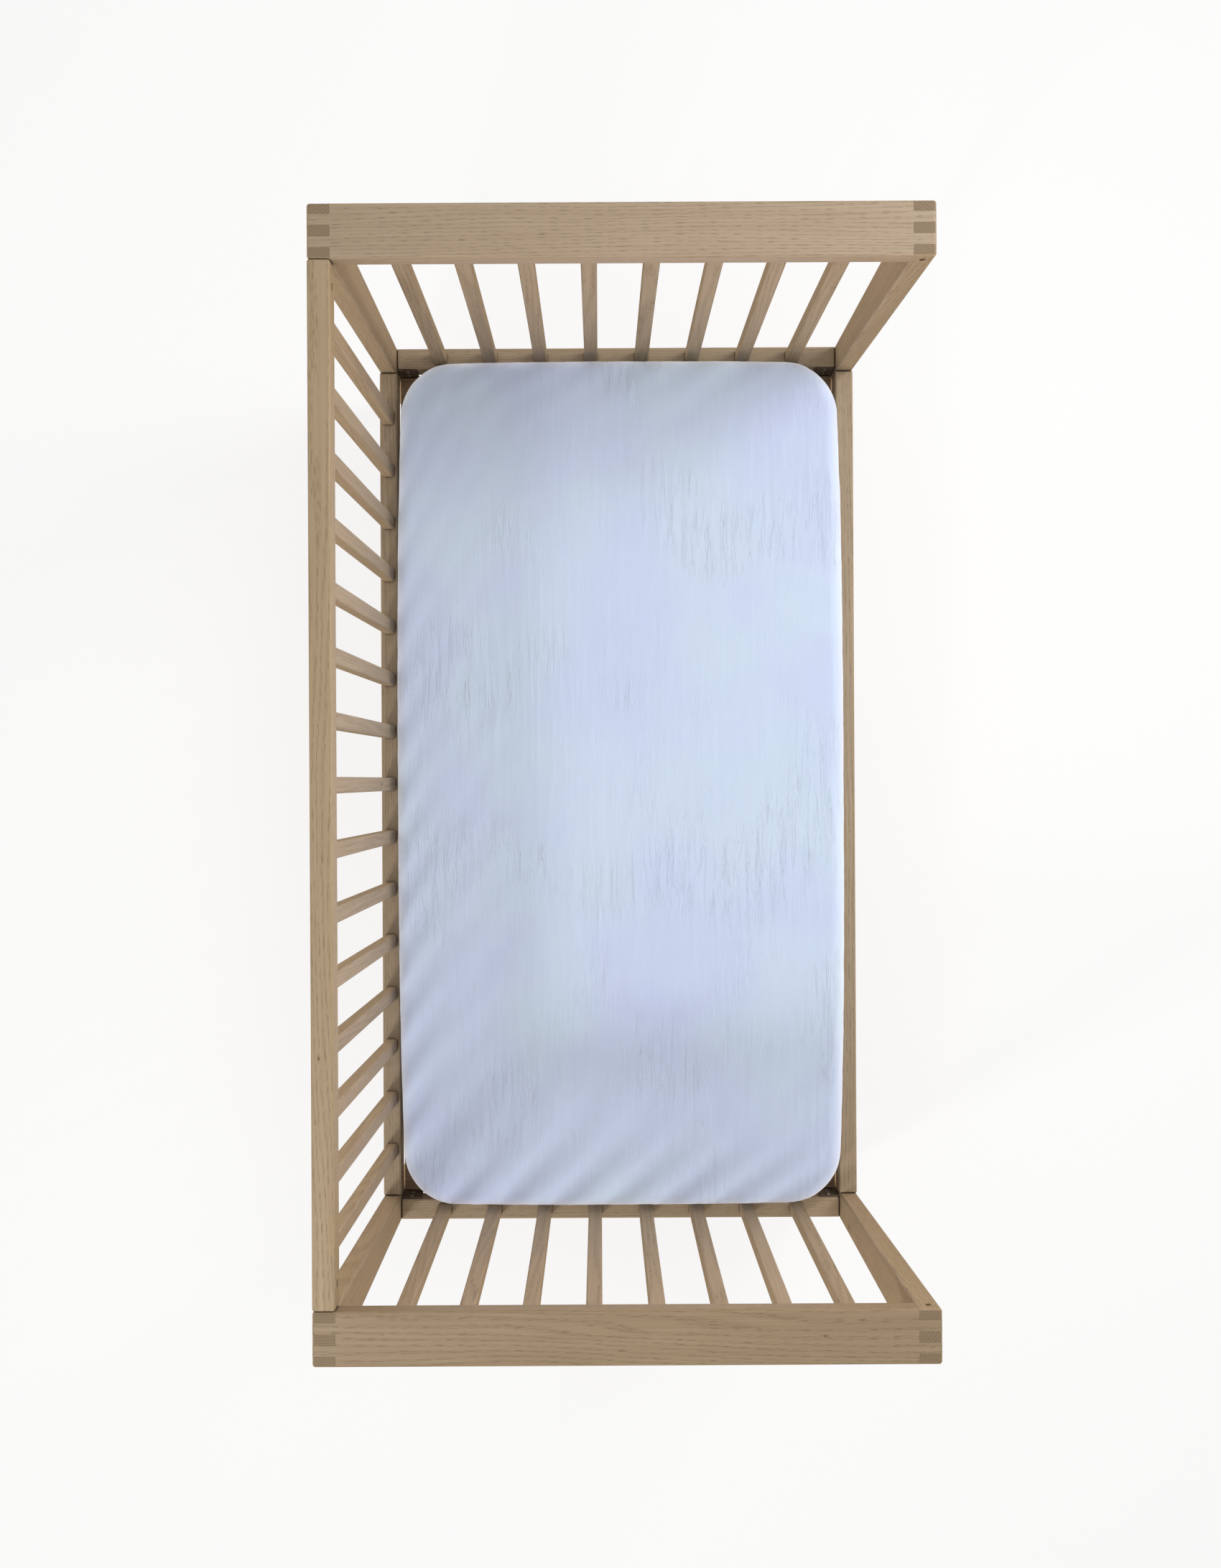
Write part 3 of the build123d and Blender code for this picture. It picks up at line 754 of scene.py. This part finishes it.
def side_profile(edge_radius, low, high, bulge):
    """From the top's rim round the edge, down the side and round the lower edge: (outset, height)."""
    steps = max(4, round(edge_radius * math.pi / 2 / RING_STEP))
    profile = []
    for k in range(1, steps + 1):
        turn = math.pi / 2 * k / steps
        profile.append((edge_radius * math.sin(turn), high - edge_radius * (1 - math.cos(turn))))
    upper = high - edge_radius
    lower = low + edge_radius
    count = round((upper - lower) / RING_STEP)
    for k in range(1, count + 1):
        share = k / count
        swell = bulge * math.sin(math.pi * share) ** 0.8 if share < 1 else 0.0
        profile.append((edge_radius + swell, upper + (lower - upper) * share))
    for k in range(1, steps + 1):
        turn = math.pi / 2 * k / steps
        profile.append((edge_radius * math.cos(turn), lower - edge_radius * math.sin(turn)))
    return profile


def mattress_form(bedding, inset):
    """The grid and rings of the mattress, this far inside the sheet's outer face."""
    half_x = sheet_high.x - inset
    half_y = sheet_high.y - inset
    low = sheet_low.z
    high = sheet_high.z - bedding.crown - inset
    edge = bedding.edge_radius
    steps_x = round(2 * half_x / GRID_STEP_X)
    steps_y = round(2 * half_y / GRID_STEP_Y)
    rim_radius = bedding.corner_radius - inset - edge
    x, y = rounded_plan(half_x - edge, half_y - edge, rim_radius, steps_x, steps_y)
    order = outline_order(steps_x, steps_y)
    rim_x = x[order[:, 0], order[:, 1]]
    rim_y = y[order[:, 0], order[:, 1]]
    normal_x, normal_y = outward(rim_x, rim_y, half_x - edge, half_y - edge, rim_radius)
    top = np.stack([x, y, np.full_like(x, high)], -1).reshape(-1, 3)
    rings = []
    for outset, height in side_profile(edge, low, high, SIDE_SWELL):
        ring_x = rim_x + normal_x * outset
        ring_y = rim_y + normal_y * outset
        rings.append(np.stack([ring_x, ring_y, np.full_like(ring_x, height)], -1))
    return {
        "top": top, "rings": rings, "steps": (steps_x, steps_y), "order": order,
        "half": (half_x, half_y), "normals": (normal_x, normal_y), "low": low, "high": high,
    }


def grid_faces(steps_x, steps_y, start=0, flip=False):
    """Quads of a grid whose points are numbered row by row from start."""
    i, j = np.meshgrid(np.arange(steps_x), np.arange(steps_y), indexing="ij")
    first = start + i * (steps_y + 1) + j
    quads = np.stack([first, first + steps_y + 1, first + steps_y + 2, first + 1], -1).reshape(-1, 4)
    return quads[:, ::-1] if flip else quads


def ring_faces(upper, lower):
    """Quads between two closed rings of point numbers, facing outward."""
    return np.stack([upper, lower, np.roll(lower, -1), np.roll(upper, -1)], -1)


def shape_plan(points, bedding, half):
    """Pull the sides in towards the corners and crown the top."""
    half_x, half_y = half
    along = np.clip(np.abs(points[:, 0]) / half_x, 0, 1)
    beside = np.clip(np.abs(points[:, 1]) / half_y, 0, 1)
    height = (points[:, 2] - sheet_low.z) / (sheet_high.z - sheet_low.z)
    points[:, 1] *= 1 - bedding.side_bow / half_y * along**3
    points[:, 0] *= 1 - bedding.end_bow / half_x * beside**3
    points[:, 0] *= 1 + END_SPREAD / half_x
    points[:, 1] *= np.where(points[:, 1] < 0, 1 + FRONT_SPREAD / half_y, 1)
    dome = (1 - along**6) * (1 - beside**4)
    points[:, 2] += bedding.crown * dome * np.clip(height * 3 - 2, 0, 1)
    return points


def new_piece(name, points, faces, material, body):
    """A smooth mesh piece that rides on a body."""
    mesh = bpy.data.meshes.new(name)
    mesh.from_pydata(points.tolist(), [], faces.tolist())
    mesh.validate()
    mesh.shade_smooth()
    mesh.materials.append(material)
    piece = bpy.data.objects.new(name, mesh)
    bpy.context.scene.collection.objects.link(piece)
    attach(piece, body)
    return piece


def point_normals(mesh):
    """The mesh's point normals as an array."""
    normals = np.empty(len(mesh.vertices) * 3, np.float32)
    mesh.vertex_normals.foreach_get("vector", normals)
    return normals.reshape(-1, 3)


def move_along_normals(piece, heights):
    """Raise each point by its own height."""
    mesh = piece.data
    points = np.empty(len(mesh.vertices) * 3, np.float32)
    mesh.vertices.foreach_get("co", points)
    moved = points.reshape(-1, 3) + point_normals(mesh) * np.asarray(heights, np.float32)[:, None]
    mesh.vertices.foreach_set("co", moved.ravel())
    mesh.update()


def ticking_material():
    """White cotton ticking with a fine self stripe."""
    material, tree, shader, spots = new_material("white_ticking")
    weave = place(tree, "weave", Point=spots["Object"], Normal=spots["Normal"], Pitch=0.0009)
    split = add(tree, "ShaderNodeSeparateXYZ")
    feed(tree, split.inputs[0], spots["Object"])
    stripe = calc(tree, "SINE", calc(tree, "MULTIPLY", split.outputs["Y"], math.tau / 0.012))
    striped = ramp(tree, stripe, 0.55, 0.75)
    cream = (0.80, 0.79, 0.75, 1.0)
    ecru = (0.70, 0.68, 0.62, 1.0)
    colour = blend_colour(tree, calc(tree, "MULTIPLY", striped, 0.6), cream, ecru)
    colour = blend_colour(tree, ramp(tree, weave["Slub"], 0.4, 0.8, 0.0, 0.5), colour, ecru)
    feed(tree, shader.inputs["Base Color"], colour)
    feed(tree, shader.inputs["Roughness"], ramp(tree, weave["Slub"], 0.2, 0.8, 0.86, 0.96))
    shader.inputs["Sheen Weight"].default_value = 0.15
    relief(tree, shader, weave["Height"], 0.0002)
    return material


# How much lighter the painted highlights on the streaks and the slubs are.
HIGHLIGHT_AND_SLUB_LIFT = 1.10
COOL_PATCH = (0.965, 0.945, 1.0)
AQUA_PATCH = (1.03, 1.06, 0.985)


def fine_creases(tree, point):
    """Sharp lengthwise creases that lie in clusters, from 0 to 1."""
    wave = grainy(tree, stretched(tree, point, (9.0, 80.0, 40.0)), 1.0, 4.0, 0.6)
    wave.node.inputs["Distortion"].default_value = 0.5
    from_ridge = calc(tree, "ABSOLUTE", calc(tree, "SUBTRACT", wave, 0.5))
    crease = ramp(tree, from_ridge, 0.0, 0.045, 1.0, 0.0)
    clusters = grainy(tree, scaled(tree, point, 4.6), 1.0, 2.0)
    return calc(tree, "MULTIPLY", crease, ramp(tree, clusters, 0.43, 0.60))


def cotton_material(bedding):
    """Pale blue muslin: loose plain weave with lighter slubs, and lengthwise streaks that the bump
    raises, painted lighter as a painted highlight.
    """
    material, tree, shader, spots = new_material("ice_blue_muslin")
    weave = place(tree, "weave", Point=spots["Object"], Normal=spots["Normal"], Pitch=0.0007)
    base = list(bedding.cotton) + [1.0]
    # The lighter colour of the painted streak highlights and of the slubs.
    washed = [min(1.0, c * HIGHLIGHT_AND_SLUB_LIFT) for c in bedding.cotton] + [1.0]
    cool = [c * s for c, s in zip(bedding.cotton, COOL_PATCH)] + [1.0]
    aqua = [c * s for c, s in zip(bedding.cotton, AQUA_PATCH)] + [1.0]
    streaks = grainy(tree, stretched(tree, spots["Object"], (5.0, 150.0, 60.0)), 1.0, 4.0, 0.6)
    patches = grainy(tree, scaled(tree, spots["Object"], 3.2), 1.0, 2.0)
    mottle = grainy(tree, scaled(tree, spots["Object"], 7.0), 1.0, 2.0)
    colour = blend_colour(tree, ramp(tree, patches, 0.40, 0.68), aqua, cool)
    colour = blend_colour(tree, ramp(tree, mottle, 0.35, 0.7), colour, base)
    # Painted highlight: the lengthwise streaks, which the bump raises, are lighter.
    colour = blend_colour(tree, ramp(tree, streaks, 0.52, 0.80, 0.0, 0.35), colour, washed)
    # Slubs in the yarn, a little lighter.
    colour = blend_colour(tree, ramp(tree, weave["Slub"], 0.55, 0.8, 0.0, 0.35), colour, washed)
    feed(tree, shader.inputs["Base Color"], colour)
    feed(tree, shader.inputs["Roughness"], ramp(tree, streaks, 0.2, 0.8, 0.78, 0.92))
    shader.inputs["Sheen Weight"].default_value = 0.65
    shader.inputs["Sheen Roughness"].default_value = 0.5
    shader.inputs["Specular IOR Level"].default_value = 0.25
    height = calc(tree, "MULTIPLY_ADD", streaks, 1.6, weave["Height"])
    height = calc(tree, "MULTIPLY_ADD", fine_creases(tree, spots["Object"]), 1.5, height)
    relief(tree, shader, height, distance=0.00035)
    return material


def quilted_underside(form, bedding):
    """The pad's lower face: puffed diamonds where the sheet leaves it open."""
    under = form["top"].copy()
    x = under[:, 0]
    y = under[:, 1]
    edge_gap = np.minimum(form["half"][0] - np.abs(x), form["half"][1] - np.abs(y))
    open_part = np.clip((edge_gap - bedding.tuck) / OPEN_FADE, 0, 1)
    open_part = open_part * open_part * (3 - 2 * open_part)
    rising = np.abs(np.sin((x + y) * math.pi / QUILT_PITCH))
    falling = np.abs(np.sin((x - y) * math.pi / QUILT_PITCH))
    puff = np.minimum(rising, falling) ** QUILT_SOFTNESS
    under[:, 2] = form["low"] + PAD_LIFT - (PAD_LIFT - PUFF_GAP) * open_part * puff
    return under


class CRIB_OT_make_pad(bpy.types.Operator):
    """Make the foam mattress pad in its quilted ticking"""

    bl_idname = "crib.make_pad"
    bl_label = "Make the mattress pad"

    def execute(self, context):
        bedding = context.scene.crib_bedding
        form = mattress_form(bedding, PAD_INSET)
        steps_x, steps_y = form["steps"]
        top = form["top"]
        under = quilted_underside(form, bedding)
        layers = [top] + form["rings"][:-1]
        for ring in layers[1:]:
            ring[:, 2] = np.maximum(ring[:, 2], form["low"] + PAD_LIFT)
        points = np.concatenate(layers + [under])
        shape_plan(points, bedding, form["half"])
        order = form["order"][:, 0] * (steps_y + 1) + form["order"][:, 1]
        faces = [grid_faces(steps_x, steps_y)]
        ring_before = order
        start = len(top)
        for _ in layers[1:]:
            ring_now = start + np.arange(len(order))
            faces.append(ring_faces(ring_before, ring_now))
            ring_before = ring_now
            start += len(order)
        faces.append(ring_faces(ring_before, start + order))
        faces.append(grid_faces(steps_x, steps_y, start, flip=True))
        pad = new_piece(
            "mattress_pad", points, np.concatenate(faces), ticking_material(), "mattress",
        )
        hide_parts("mattress_core")
        return {"FINISHED"}


def hem_outline(bedding, form):
    """Plan points of the elastic hem under the mattress, one for each rim point."""
    steps_x, steps_y = form["steps"]
    half_x = form["half"][0] - bedding.tuck
    half_y = form["half"][1] - bedding.tuck
    x, y = rounded_plan(half_x, half_y, HEM_CORNER, steps_x, steps_y)
    order = form["order"]
    return x[order[:, 0], order[:, 1]], y[order[:, 0], order[:, 1]]


def gather(bedding, count):
    """How high each hem point is drawn up by the elastic, from 0 to 1."""
    share = np.arange(count) / count
    uneven = 0.35 * np.sin(share * math.tau * 17) + 0.25 * np.sin(share * math.tau * 41 + 1.0)
    return 0.5 + 0.5 * np.sin(share * math.tau * bedding.gathers / 2 + 3 * uneven)


def top_crease(x, y):
    """How high the lengthwise creases stand at one point of the top."""
    across = y + noise.noise((x * 2.2, y * 4.0, 3.7)) * 0.012
    long = 1 - abs(noise.noise((x * 5.5, across * 75, 0.3)))
    fine = 1 - abs(noise.noise((x * 16, across * 170, 8.1)))
    where_long = 0.5 + 0.9 * noise.noise((x * 3.1 + 4, y * 5.2, 1.9))
    where_fine = 0.5 + 0.9 * noise.noise((x * 4.3 - 7, y * 6.1, 5.5))
    return max(0.0, where_long) * long**9 + 0.45 * max(0.0, where_fine) * fine**6


def side_pucker(x, y, z):
    """How far the sides pucker at one point, more so lower down."""
    around = math.atan2(y * 1.9, x)
    pull = noise.noise((around * 26, z * 9, 2.2)) + 0.5 * noise.noise((around * 70, z * 22, 6.4))
    low_share = min(1.0, max(0.0, (sheet_high.z - z) / 0.13))
    return pull * (0.35 + 0.9 * low_share)


def crinkles(points, normals, bedding):
    """The height of the fine creases at every point: along the top and down the sides."""
    heights = np.zeros(len(points))
    for k, (point, normal) in enumerate(zip(points, normals)):
        x, y, z = point
        up = max(0.0, normal[2])
        heights[k] = bedding.crinkle * (up * top_crease(x, y) + (1 - up) * side_pucker(x, y, z))
    return heights


def corner_seams(form):
    """How near each rim point is to the seam at its corner, from 0 to 1."""
    normal_x, normal_y = form["normals"]
    slant = np.abs(np.abs(normal_x) - np.abs(normal_y))
    return np.clip(1 - slant / SEAM_SLANT, 0, 1)


def gather_sides(form, bedding, pulls):
    """Raise the corner seams and gather the sides, more so lower down."""
    seam = corner_seams(form)
    normal_x, normal_y = form["normals"]
    for ring in form["rings"]:
        below_edge = form["high"] - bedding.edge_radius - ring[:, 2]
        drop = np.clip(below_edge / GATHER_REACH, 0, 1)
        out = SEAM_RIDGE * seam * (drop > 0) + GATHER_DEPTH * (pulls - 0.5) * drop**2
        ring[:, 0] += normal_x * out
        ring[:, 1] += normal_y * out


def tucked_rings(form, bedding, pulls):
    """Rings of points from the mattress's lower edge in to the gathered hem."""
    last = form["rings"][-1]
    hem_x, hem_y = hem_outline(bedding, form)
    steps = round(bedding.tuck / RING_STEP)
    rings = []
    for k in range(1, steps + 1):
        share = k / steps
        ring = last.copy()
        ring[:, 0] += (hem_x - last[:, 0]) * share
        ring[:, 1] += (hem_y - last[:, 1]) * share
        ring[:, 2] = form["low"] + HEM_GAP + HEM_RISE * pulls * share**0.7
        rings.append(ring)
    return rings


class CRIB_OT_make_sheet(bpy.types.Operator):
    """Make the fitted sheet with its corner seams, gathers and elastic hem"""

    bl_idname = "crib.make_sheet"
    bl_label = "Make the fitted sheet"

    def execute(self, context):
        bedding = context.scene.crib_bedding
        form = mattress_form(bedding, 0.0)
        steps_x, steps_y = form["steps"]
        count = len(form["order"])
        order = form["order"][:, 0] * (steps_y + 1) + form["order"][:, 1]
        pulls = gather(bedding, count)
        gather_sides(form, bedding, pulls)
        rings = form["rings"] + tucked_rings(form, bedding, pulls)
        points = np.concatenate([form["top"]] + rings)
        shape_plan(points, bedding, form["half"])
        faces = [grid_faces(steps_x, steps_y)]
        ring_before = order
        for k in range(len(rings)):
            ring_now = len(form["top"]) + k * count + np.arange(count)
            faces.append(ring_faces(ring_before, ring_now))
            ring_before = ring_now
        cotton = cotton_material(bedding)
        sheet = new_piece(
            "cotton_fitted_sheet", points, np.concatenate(faces), cotton, "mattress"
        )
        heights = crinkles(points, point_normals(sheet.data), bedding)
        heights[points[:, 2] < form["low"] + FLAT_BELOW] = 0.0
        move_along_normals(sheet, heights)
        thick = sheet.modifiers.new("Cloth thickness", "SOLIDIFY")
        thick.thickness = SHEET_THICKNESS
        thick.offset = -1.0
        hem = self.make_hem(points[ring_before], pulls, cotton)
        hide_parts("fitted_sheet")
        return {"FINISHED"}

    def make_hem(self, line, pulls, cotton):
        """The elastic casing that edges the sheet under the mattress."""
        inward = line[:, :2].mean(0) - line[:, :2]
        inward /= np.linalg.norm(inward, axis=1)[:, None]
        width = HEM_RADIUS * (1.9 + 0.5 * pulls)
        thickness = HEM_RADIUS * (0.75 + 0.25 * pulls)
        loops = []
        for k in range(HEM_SIDES):
            turn = math.tau * k / HEM_SIDES
            set_in = width * math.cos(turn) + HEM_SETBACK
            loop = line.copy()
            loop[:, 0] += inward[:, 0] * set_in
            loop[:, 1] += inward[:, 1] * set_in
            loop[:, 2] = sheet_low.z + HEM_RADIUS + thickness * math.sin(turn)
            loops.append(loop)
        count = len(line)
        numbers = [k * count + np.arange(count) for k in range(HEM_SIDES)]
        faces = [ring_faces(numbers[k], numbers[(k + 1) % HEM_SIDES]) for k in range(HEM_SIDES)]
        return new_piece(
            "elastic_hem", np.concatenate(loops), np.concatenate(faces), cotton, "mattress",
        )


# ---- stage ----


FLOOR_HALF = 14.0
FLOOR_GLOW = 0.76
BACKDROP = (1.40, 1.40, 1.40, 1.0)
SKY_STRAIGHT_UP = (1.60, 1.36, 1.10, 1.0)
SKY_LOW_BOUNCE = (3.95, 3.38, 2.72, 1.0)
SKY_FROM_ABOVE = (1.0, 0.985, 0.97, 1.0)
CAMERA_X = 0.0043
CAMERA_Y = 0.030
CAMERA_TURN = -90.3  # degrees about the vertical, so the head end is at the top of the picture
CAMERA_SHIFT = (0.0069, -0.0023)


def floor_material():
    """A pale seamless studio floor."""
    material, tree, shader, spots = new_material("studio_floor")
    cloudy = grainy(tree, scaled(tree, spots["Object"], 0.8), 1.0, 2.0)
    pale = (0.195, 0.195, 0.195, 1.0)
    paler = (0.205, 0.205, 0.205, 1.0)
    feed(tree, shader.inputs["Base Color"], blend_colour(tree, cloudy, pale, paler))
    shader.inputs["Roughness"].default_value = 0.9
    shader.inputs["Specular IOR Level"].default_value = 0.1
    shader.inputs["Emission Color"].default_value = (1.0, 1.0, 1.0, 1.0)
    shader.inputs["Emission Strength"].default_value = FLOOR_GLOW
    return material


def soft_light(name, place_at, aim, size, spread, power, colour):
    """A square studio light that doesn't show in the picture itself."""
    data = bpy.data.lights.new(name, "AREA")
    data.shape = "SQUARE"
    data.size = size
    data.spread = math.radians(spread)
    data.energy = power
    data.color = colour
    light = bpy.data.objects.new(name, data)
    light.location = place_at
    light.rotation_euler = (Vector(aim) - Vector(place_at)).to_track_quat("-Z", "Y").to_euler()
    light.visible_camera = False
    bpy.context.scene.collection.objects.link(light)


class CRIB_OT_set_stage(bpy.types.Operator):
    """Lay the floor, set the lights and hang the camera above the crib"""

    bl_idname = "crib.set_stage"
    bl_label = "Set the stage"

    def execute(self, context):
        scene = context.scene
        studio = scene.crib_studio
        self.lay_floor(scene)
        self.set_lights(scene, studio)
        self.hang_camera(scene, studio)
        scene.view_settings.view_transform = "Standard"
        scene.view_settings.look = "None"
        return {"FINISHED"}

    def lay_floor(self, scene):
        """A wide floor that shows to the camera and throws no light on the crib."""
        half = FLOOR_HALF
        mesh = bpy.data.meshes.new("studio_floor")
        corners = [(-half, -half, 0), (half, -half, 0), (half, half, 0), (-half, half, 0)]
        mesh.from_pydata(corners, [], [(0, 1, 2, 3)])
        mesh.materials.append(floor_material())
        floor = bpy.data.objects.new("studio_floor", mesh)
        scene.collection.objects.link(floor)
        floor.visible_diffuse = False
        floor.visible_glossy = False

    def set_lights(self, scene, studio):
        """A painted sky, the key light and the side light."""
        self.paint_sky(scene, studio)
        soft_light(
            "Key light", place_at=(1.05, -1.62, 2.60), aim=(0.38, -0.10, 0.4), size=1.0,
            spread=115.0, power=studio.key_power, colour=(1.0, 0.995, 0.98),
        )
        soft_light(
            "Side light", place_at=(-1.45, 1.05, 2.4), aim=(0.1, 0.0, 0.4), size=0.32,
            spread=180.0, power=studio.side_power, colour=(1.0, 0.985, 0.96),
        )

    def paint_sky(self, scene, studio):
        """Even light from above, warm bounce from below and a plain backdrop for the camera."""
        world = bpy.data.worlds.new("Soft sky")
        world.use_nodes = True
        scene.world = world
        tree = world.node_tree
        sky = tree.nodes["Background"]
        facing = add(tree, "ShaderNodeTexCoord").outputs["Generated"]
        height = dot(tree, facing, (0.0, 0.0, 1.0))
        below = blend_colour(tree, ramp(tree, height, -0.80, -0.40), SKY_STRAIGHT_UP, SKY_LOW_BOUNCE)
        colour = blend_colour(tree, ramp(tree, height, -0.10, 0.22), below, SKY_FROM_ABOVE)
        seen_directly = add(tree, "ShaderNodeLightPath").outputs["Is Camera Ray"]
        feed(tree, sky.inputs["Color"], blend_colour(tree, seen_directly, colour, BACKDROP))
        sky.inputs["Strength"].default_value = studio.sky
        world.cycles_visibility.glossy = False

    def hang_camera(self, scene, studio):
        """A camera above the crib that looks straight down."""
        data = bpy.data.cameras.new("Camera")
        data.lens = studio.lens
        data.sensor_width = 36.0
        data.shift_x, data.shift_y = CAMERA_SHIFT
        data.clip_start = 0.05
        data.clip_end = 60.0
        camera = bpy.data.objects.new("Camera", data)
        camera.location = (CAMERA_X, CAMERA_Y, studio.camera_height)
        camera.rotation_euler = (0.0, 0.0, math.radians(CAMERA_TURN))
        scene.collection.objects.link(camera)
        scene.camera = camera


# ---- add-on ----


class CRIB_PT_panel(bpy.types.Panel):
    """Lists the crib's operators and settings"""

    bl_idname = "CRIB_PT_panel"
    bl_label = "Crib looks"
    bl_space_type = "VIEW_3D"
    bl_region_type = "UI"
    bl_category = "Crib"

    def draw(self, context):
        layout = self.layout
        for operator in OPERATORS:
            layout.operator(operator.bl_idname)
        for group in SETTINGS:
            settings = getattr(context.scene, group)
            box = layout.box()
            for name in settings.__annotations__:
                box.prop(settings, name)


OPERATORS = (
    CRIB_OT_finish_oak,
    CRIB_OT_finish_base,
    CRIB_OT_finish_hardware,
    CRIB_OT_make_pad,
    CRIB_OT_make_sheet,
    CRIB_OT_set_stage,
)
SETTINGS = {
    "crib_wood": CRIB_PG_wood,
    "crib_bedding": CRIB_PG_bedding,
    "crib_studio": CRIB_PG_studio,
}


def register():
    for group in SETTINGS.values():
        bpy.utils.register_class(group)
    for name, group in SETTINGS.items():
        setattr(bpy.types.Scene, name, PointerProperty(type=group))
    for operator in OPERATORS:
        bpy.utils.register_class(operator)
    bpy.utils.register_class(CRIB_PT_panel)


def unregister():
    bpy.utils.unregister_class(CRIB_PT_panel)
    for operator in reversed(OPERATORS):
        bpy.utils.unregister_class(operator)
    for name, group in SETTINGS.items():
        delattr(bpy.types.Scene, name)
        bpy.utils.unregister_class(group)


def main():
    register()
    bpy.ops.crib.finish_oak()
    bpy.ops.crib.finish_base()
    bpy.ops.crib.finish_hardware()
    bpy.ops.crib.make_pad()
    bpy.ops.crib.make_sheet()
    bpy.ops.crib.set_stage()


if __name__ == "__main__":
    main()
